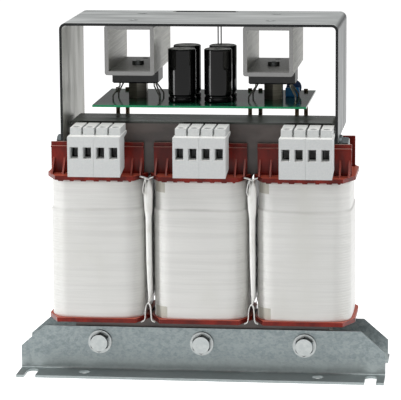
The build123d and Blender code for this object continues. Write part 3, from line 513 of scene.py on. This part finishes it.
finishes = {
    "core_lacquer": varnished_core(),
    "galvanised_steel": galvanised_sheet(),
    "strap_steel": brushed_sheet("varnished_strap_sheet", "#969C95", "#535953", "#3A3C39", "#6A6E68",
                                 "#6A6E68", 0.3, 0.7),
    # the bow's arms take a painted lit colour inside and a painted shaded colour outside
    "bow_steel": brushed_sheet("brushed_bow_sheet", "#DCDFDE", "#ADB1B0", "#17191A", "#97978E",
                               "#4C5051", 0.34, 0.45),
    "bright_zinc": bright_zinc("bright_zinc_base_bolts", "Y", "#454C4E"),
    "spacer_steel": turned_steel(),
    "bobbin_plastic": bobbin_moulding(),
    "winding_copper": enamelled_lead(),
    "wrap_tape": coil_tape(),
    "insulation_paper": insulating_sheet(),
    "terminal_plastic": terminal_moulding(),
    "clamp_steel": clamp_metal(),
    "sink_aluminium": extruded_tube(),
    "rectifier_epoxy": black_epoxy(),
    "lead_tin": tinned_wire(),
    "board_laminate": board_laminate(),
    "capacitor_sleeve": capacitor_can(),
    # painted light: the film capacitor's blue is paler than its own colour, to make up for the shade under the
    # rectifier
    "film_blue": plain_case("blue_film_capacitor_case", "#3AA9F6", "#1E8EDC", 0.35, 0.1),
    "varistor_blue": plain_case("dark_blue_dipped_lacquer", "#2C5FA3", "#1C4079", 0.35, 0.3),
    "sensor_case": plain_case("black_sensor_case", "#2E2E30", "#19191A", 0.5),
    "sensor_sleeve": plain_case("dark_wire_sleeve", "#3A3A3A", "#222222", 0.5),
    "lead_enamel": enamelled_lead(),
}
bow_zinc = bright_zinc("bright_zinc_bow_bolts", "X", "#6B7173")
screw_zinc = bright_zinc("bright_zinc_screws", "Z", "#94999A")
own_finish = {"bow_bolts": bow_zinc, "bow_washers": bow_zinc, "clinch_nuts": bow_zinc,
              "heat_sink_screws": screw_zinc, "rectifier_screws": screw_zinc, "board_screws": screw_zinc}
for part in frame["record"]["subparts"]:
    mesh = nodes[part["node"]].data
    mesh.materials.clear()
    mesh.materials.append(own_finish.get(part["node"], finishes[part["material_slot"]]))


# ------------------------------------------------------------------ pieces
def make_piece(name, points, faces, slot, material=None, smooth=True, replaced=()):
    """Mesh piece that rides on the transformer's one body."""
    mesh = bpy.data.meshes.new(name)
    mesh.from_pydata(points, [], faces)
    mesh.validate()
    mesh.materials.append(material or finishes[slot])
    for face in mesh.polygons:
        face.use_smooth = smooth
    work = bmesh.new()
    work.from_mesh(mesh)
    bmesh.ops.recalc_face_normals(work, faces=work.faces)
    work.to_mesh(mesh)
    work.free()
    piece = bpy.data.objects.new(name, mesh)
    bpy.context.scene.collection.objects.link(piece)
    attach(piece, "root")
    for node in replaced:
        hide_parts(node)
    return piece


def rounded_section(half_x, half_y, radius, bulge_x, bulge_y, count):
    """Points and outward directions round a rounded rectangle whose sides bulge."""
    straight_x, straight_y = half_x - bulge_x - radius, half_y - bulge_y - radius
    corners = [(straight_x, -straight_y, -90), (straight_x, straight_y, 0), (-straight_x, straight_y, 90),
               (-straight_x, -straight_y, 180)]
    per_side = count // 4
    arc = per_side // 2
    points = []
    for index, (cx, cy, begin) in enumerate(corners):
        for step in range(arc):
            angle = math.radians(begin + 90 * step / (arc - 1))
            points.append((cx + radius * math.cos(angle), cy + radius * math.sin(angle),
                           math.cos(angle), math.sin(angle)))
        nx, ny, _ = corners[(index + 1) % 4]
        end_x, end_y, ox, oy = points[-1]
        goal_x, goal_y = nx + radius * ox, ny + radius * oy
        for step in range(1, per_side - arc + 1):
            share = step / (per_side - arc + 1)
            points.append((end_x + (goal_x - end_x) * share, end_y + (goal_y - end_y) * share, ox, oy))
    bulged = []
    for x, y, ox, oy in points:
        bulged.append((x + ox * bulge_x * (1 - (y / half_y) ** 2),
                       y + oy * bulge_y * (1 - (x / half_x) ** 2), ox, oy))
    return bulged


def ring_faces(rings, around, start=0):
    """Quads between rings of points that follow each other in the list."""
    faces = []
    for ring in range(rings - 1):
        low, high = start + ring * around, start + (ring + 1) * around
        for column in range(around):
            beside = (column + 1) % around
            faces.append((low + column, low + beside, high + beside, high + column))
    return faces


def coil_section(name):
    """Outline of one taped coil, with its lowest corner, its middle and its height."""
    low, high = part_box(name)
    section = rounded_section((high.x - low.x) / 2, (high.y - low.y) / 2, coil_corner, coil_side_bulge,
                              coil_front_bulge, coil_points)
    return section, low, (low + high) / 2, high.z - low.z


def taped_coil(name, seed):
    """Tape sleeve of one coil: wire turns ripple through it, it steps in near the top, and the ends
    of its layers make faint ledges that run round a little out of level."""
    section, low, centre, height = coil_section(name)
    chance = random.Random(seed)
    turn = 2.0 * mm                         # pitch of the wire under the tape
    ripple = 0.15 * mm
    row_gap = 0.4 * mm
    # each ledge has a height, a tilt and a depth
    ledges = [(chance.uniform(0.03, 0.74) * height, chance.uniform(-0.25, 0.25) * mm,
               chance.uniform(0.02, 0.05) * mm) for _ in range(7)]
    step_height = 0.787 * height            # the outer layer of tape ends here
    rows = [row * row_gap for row in range(int(height / row_gap) + 1)] + [height]
    points, faces = [], []
    for z in rows:
        for x, y, ox, oy in section:
            corner = 4 * (ox * oy) ** 2
            wave = 0.5 - 0.5 * math.cos(2 * math.pi * (z + 0.15 * mm * math.sin(x / (9 * mm))) / turn)
            fade = 1.0 if z < step_height - 4 * mm else 0.35
            inward = ripple * wave * (0.3 + 0.9 * corner) * fade
            for ledge, tilt, depth in ledges:
                share = (z - ledge - tilt * math.sin(x / (20 * mm) + seed)) / (0.5 * mm)
                inward += depth * 0.5 * max(-1.0, min(1.0, share)) + depth * 0.5 if -6 < share < 6 else (
                    0.0 if share < 0 else depth * max(0.0, 1 - (share - 6) / 12))
            edge = (z - step_height - 0.5 * mm * math.sin(x / (14 * mm) + 2 * seed)) / (0.8 * mm)
            inward += 1.0 * mm * 0.5 * (1 + max(-1.0, min(1.0, edge)))
            close_to_end = min(z, height - z)
            inward += 0.6 * mm * max(0.0, 1 - close_to_end / (1.6 * mm)) ** 2
            inward = max(0.0, inward)
            points.append((centre.x + x - ox * inward, centre.y + y - oy * inward, low.z + z))
    count = len(section)
    faces += ring_faces(len(rows), count)
    # close the sleeve inwards at both ends
    for row in (0, len(rows) - 1):
        first = len(points)
        for x, y, ox, oy in section:
            points.append((centre.x + x * 0.9, centre.y + y * 0.9, low.z + rows[row]))
        for column in range(count):
            beside = (column + 1) % count
            faces.append((row * count + column, row * count + beside, first + beside, first + column))
    faces += ring_faces(2, count, len(rows) * count)
    return make_piece("taped_" + name, points, faces, "wrap_tape", replaced=(name,))


def tape_tab(name, coil, from_share, to_share, low_z, high_z, inset):
    """Short strip of beige paper tape stuck round the front left corner of a coil."""
    section, _, centre, _ = coil_section(coil)
    corner = section[3 * coil_points // 4:]
    last = len(corner) - 1
    chosen = corner[int(from_share * last):int(to_share * last) + 1]
    points, faces = [], []
    for depth in (inset - 0.02 * mm, inset + 0.3 * mm):
        for z in (low_z, high_z):
            for x, y, ox, oy in chosen:
                points.append((centre.x + x - ox * depth, centre.y + y - oy * depth, z))
    count = len(chosen)
    for column in range(count - 1):
        outer, inner = column, column + 2 * count
        faces.append((outer, outer + 1, outer + 1 + count, outer + count))
        faces.append((inner, inner + count, inner + 1 + count, inner + 1))
        faces.append((outer, inner, inner + 1, outer + 1))
        faces.append((outer + count, outer + 1 + count, inner + 1 + count, inner + count))
    for column in (0, count - 1):
        faces.append((column, column + count, column + 3 * count, column + 2 * count))
    return make_piece(name, points, faces, "wrap_tape", material=paper, smooth=False)


def ribbon(path, thickness, front, rear, points, faces):
    """Add a thin sheet that follows a path in x and z, and runs from front to rear."""
    first = len(points)
    for index, (x, z) in enumerate(path):
        before, after = path[max(index - 1, 0)], path[min(index + 1, len(path) - 1)]
        along = Vector((after[0] - before[0], after[1] - before[1])).normalized()
        side = Vector((-along.y, along.x)) * thickness / 2
        for y in (front, rear):
            points.append((x + side.x, y, z + side.y))
            points.append((x - side.x, y, z - side.y))
    for index in range(len(path) - 1):
        a, b = first + 4 * index, first + 4 * index + 4
        faces += [(a, b, b + 2, a + 2), (a + 1, a + 3, b + 3, b + 1), (a, a + 1, b + 1, b),
                  (a + 2, b + 2, b + 3, a + 3)]
    for a in (first, first + 4 * (len(path) - 1)):
        faces.append((a, a + 2, a + 3, a + 1))


def smooth_path(corners, divisions=8):
    """Catmull-Rom line through the given points."""
    line = []
    for i in range(len(corners) - 1):
        p0, p1, p2, p3 = (Vector(corners[max(i - 1, 0)]), Vector(corners[i]), Vector(corners[i + 1]),
                          Vector(corners[min(i + 2, len(corners) - 1)]))
        for step in range(divisions):
            t = step / divisions
            line.append(tuple(0.5 * (2 * p1 + (p2 - p0) * t + (2 * p0 - 5 * p1 + 4 * p2 - p3) * t * t
                                     + (3 * p1 - p0 - 3 * p2 + p3) * t ** 3)))
    return line + [tuple(corners[-1])]


def coil_barrier(name):
    """Folded sheet between two coils: its front and rear folds bulge out as white bands, its feet
    splay on the lower yoke, and a loose fold hangs beside it at the top."""
    low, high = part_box(name)
    middle = (low.x + high.x) / 2
    points, faces = [], []
    # (height, half width, sideways shift) of the folded band
    bands = [(15, 0.6, 0.6), (20, 1.1, 1.2), (26, 1.7, 1.3), (45, 2.2, 1.0), (65, 2.2, 0.8),
             (82, 2.3, 0.8), (88, 3.1, 0.8), (98, 3.5, 0.6), (105, 3.3, 0.8), (109, 1.8, 1.4),
             (111.5, 0.5, 1.8)]
    rings = []
    for height, half, shift in bands:
        ring = []
        length = (high.y - low.y) / 2 - 0.6 * mm
        for side in (-1, 1):
            for share in (0.0, 0.3, 0.6, 0.78, 0.85, 0.91, 0.955, 0.985, 1.0):
                flat_part = min(half, 0.8) + max(0.0, half - 0.8) * max(0.0, min(1.0, (share - 0.7) / 0.2))
                fold = math.sqrt(max(0.0, 1 - max(0.0, (share - 0.9) / 0.1) ** 2))
                ring.append((side * flat_part * fold, share))
        # mirrored to the front half, and put in order round the band
        ring = ([(x, -y) for x, y in ring[:9]][::-1] + ring[1:9] + ring[9:17][::-1]
                + [(x, -y) for x, y in ring[9:]][1:-1])
        ring = [(middle + (shift + x) * mm, y * length, low.z + height * mm) for x, y in ring]
        rings.append(ring)
    for ring in rings:
        points += ring
    around = len(rings[0])
    faces += ring_faces(len(rings), around)
    faces.append(tuple(range(around)))
    faces.append(tuple((len(rings) - 1) * around + column for column in range(around)))
    # splayed feet with a rounded arch, and the small flare at the top
    feet = smooth_path([(-5.4, 0.5), (-3.2, 1.5), (-2.4, 4.0), (-2.1, 9.0), (-1.3, 13.5), (0.2, 15.5),
                        (1.6, 13.5), (2.2, 9.0), (2.5, 4.0), (3.3, 1.5), (5.4, 0.6)])
    flare = smooth_path([(-5.2, 114.2), (-2.6, 113.7), (-0.4, 112.8), (1.2, 112.2), (3.0, 113.4), (5.2, 114.0)])
    loop = smooth_path([(-1.0, 113.0), (-2.2, 109.0), (-3.0, 104.0), (-2.3, 100.8), (-1.2, 101.8),
                        (-0.6, 105.0), (-0.6, 109.5), (-0.8, 112.5)])
    for front, rear in ((low.y + 0.2 * mm, low.y + 5.3 * mm), (high.y - 5.3 * mm, high.y - 0.2 * mm)):
        for path in (feet, flare, loop):
            ribbon([(middle + x * mm, low.z + z * mm) for x, z in path], 0.5 * mm, front, rear, points, faces)
    return make_piece("folded_" + name, points, faces, "insulation_paper", replaced=(name,))


def weld_bead(name, x, y, z, length):
    """Small uneven weld bead that joins the strap to the yoke."""
    points, faces = [], []
    rows, around = 14, 10
    chance = random.Random(5)
    for row in range(rows + 1):
        share = row / rows
        size = math.sin(math.pi * min(max(share, 0.02), 0.98)) ** 0.6 * (0.9 + 0.2 * chance.random())
        for step in range(around):
            angle = 2 * math.pi * step / around
            points.append((x + (share - 0.5) * length, y + 1.1 * mm * size * math.cos(angle),
                           z + 0.9 * mm * size * math.sin(angle)))
    faces += ring_faces(rows + 1, around)
    faces.append(tuple(range(around)))
    faces.append(tuple(rows * around + step for step in range(around)))
    return make_piece(name, points, faces, "strap_steel")


def flange_teeth(name, coil):
    """Row of short moulded teeth that hang below the front edge of the upper flange."""
    low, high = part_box(coil)
    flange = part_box(coil.replace("coil_wrap", "bobbin"))
    middle = (low.x + high.x) / 2
    points, faces = [], []
    for offset, width in ((-26, 5), (-17.5, 4), (-8.5, 5), (1.5, 5), (11, 4), (20, 5), (27.5, 3)):
        first = len(points)
        for z, inset in ((high.z + 0.3 * mm, 0.0), (high.z - 0.9 * mm, 0.7)):
            for x, y in ((-1, 0.3), (1, 0.3), (1, 1.6), (-1, 1.6)):
                points.append((middle + offset * mm + x * (width / 2 - inset) * mm, flange[0].y + y * mm, z))
        faces += [tuple(first + i for i in face) for face in
                  ((0, 1, 2, 3), (7, 6, 5, 4), (0, 4, 5, 1), (1, 5, 6, 2), (2, 6, 7, 3), (3, 7, 4, 0))]
    return make_piece(name, points, faces, "bobbin_plastic", smooth=False)


paper = paper_tape()
for seed, name in enumerate(("coil_wrap_left", "coil_wrap_middle", "coil_wrap_right")):
    taped_coil(name, seed)
    flange_teeth(name.replace("coil_wrap", "flange_teeth"), name)
for name in ("insulation_sheet_left", "insulation_sheet_right"):
    coil_barrier(name)
for side in ("middle", "right"):
    floor_of_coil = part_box(f"coil_wrap_{side}")[0].z
    tape_tab(f"upper_tape_tab_{side}", f"coil_wrap_{side}", 0.16, 0.38, floor_of_coil + 98.5 * mm,
             floor_of_coil + 107.2 * mm, 0.95 * mm)
    tape_tab(f"lower_tape_tab_{side}", f"coil_wrap_{side}", 0.14, 0.42, floor_of_coil + 1.0 * mm,
             floor_of_coil + 9.5 * mm, 0.0)
strap_low, strap_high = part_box("yoke_strap")
weld_bead("front_weld", 0.0, strap_low.y - 0.1 * mm, strap_high.z - 1.0 * mm, 9 * mm)
weld_bead("rear_weld", 0.0, strap_high.y + 0.1 * mm, strap_high.z - 1.0 * mm, 9 * mm)


# ------------------------------------------------------------------ floor, light and camera
def studio_floor():
    """Seamless white floor: it takes the object's shadow, and rays that see it find it white."""
    mesh = bpy.data.meshes.new("studio_floor")
    mesh.from_pydata([(-6, -6, 0), (6, -6, 0), (6, 6, 0), (-6, 6, 0)], [], [(0, 1, 2, 3)])
    floor = bpy.data.objects.new("studio_floor", mesh)
    bpy.context.scene.collection.objects.link(floor)
    material, tree, shader = start_material("white_paper_floor", Roughness=0.9, Specular_IOR_Level=0.1)
    shader.inputs["Base Color"].default_value = linear("#F2F2F2")
    rays = add(tree, "ShaderNodeLightPath")
    seen = add(tree, "ShaderNodeMath", {0: rays.outputs["Is Camera Ray"], 1: rays.outputs["Is Glossy Ray"]},
               operation="MAXIMUM").outputs[0]
    share = add(tree, "ShaderNodeMapRange", {"Value": seen, "From Min": 0.0, "From Max": 1.0, "To Min": 0.0,
            "To Max": 0.78}, interpolation_type="SMOOTHSTEP").outputs["Result"]
    glow = add(tree, "ShaderNodeEmission", {"Strength": share})
    both = add(tree, "ShaderNodeAddShader", {0: shader.outputs[0], 1: glow.outputs[0]})
    tree.links.new(both.outputs[0], tree.nodes["Material Output"].inputs["Surface"])
    mesh.materials.append(material)


def studio_world():
    """Even pale surroundings: white to the camera and through openings, softer as light."""
    world = bpy.data.worlds.new("studio")
    bpy.context.scene.world = world
    world.use_nodes = True
    tree = world.node_tree
    rays = add(tree, "ShaderNodeLightPath")
    seen = add(tree, "ShaderNodeMath", {0: rays.outputs["Is Camera Ray"],
               1: rays.outputs["Is Transmission Ray"]}, operation="MAXIMUM").outputs[0]
    strength = add(tree, "ShaderNodeMapRange", {"Value": seen, "To Min": 0.3,
                   "To Max": 1.0}).outputs["Result"]
    tree.links.new(strength, tree.nodes["Background"].inputs["Strength"])
    tree.nodes["Background"].inputs["Color"].default_value = (1, 1, 1, 1)


def soft_lamp(name, place, aim, width, height, power):
    """Rectangular soft lamp that points at a spot."""
    light = bpy.data.lights.new(name, "AREA")
    light.shape = "RECTANGLE"
    light.size, light.size_y, light.energy = width, height, power
    lamp = bpy.data.objects.new(name, light)
    lamp.location = place
    lamp.rotation_euler = (Vector(aim) - Vector(place)).to_track_quat("-Z", "Y").to_euler()
    bpy.context.scene.collection.objects.link(lamp)


def product_camera():
    """Long lens, a little above and to the right of the terminal side."""
    data = bpy.data.cameras.new("camera")
    data.lens, data.clip_start = 225.8, 0.05
    camera = bpy.data.objects.new("camera", data)
    camera.location = (0.2302, -1.9148, 0.4743)
    camera.rotation_euler = (math.radians(79.97), math.radians(0.392), math.radians(6.878))
    bpy.context.scene.collection.objects.link(camera)
    bpy.context.scene.camera = camera


studio_floor()
studio_world()
soft_lamp("top_lamp", (0.0, -0.1, 1.5), (0, 0, 0.15), 1.2, 0.9, 10.5)
soft_lamp("left_lamp", (-1.35, -0.65, 0.55), (0, 0, 0.15), 0.3, 1.2, 13.5)
soft_lamp("right_lamp", (1.4, -0.2, 0.6), (0, 0, 0.15), 0.22, 1.1, 7.0)
product_camera()
bpy.context.scene.view_settings.view_transform = "Standard"
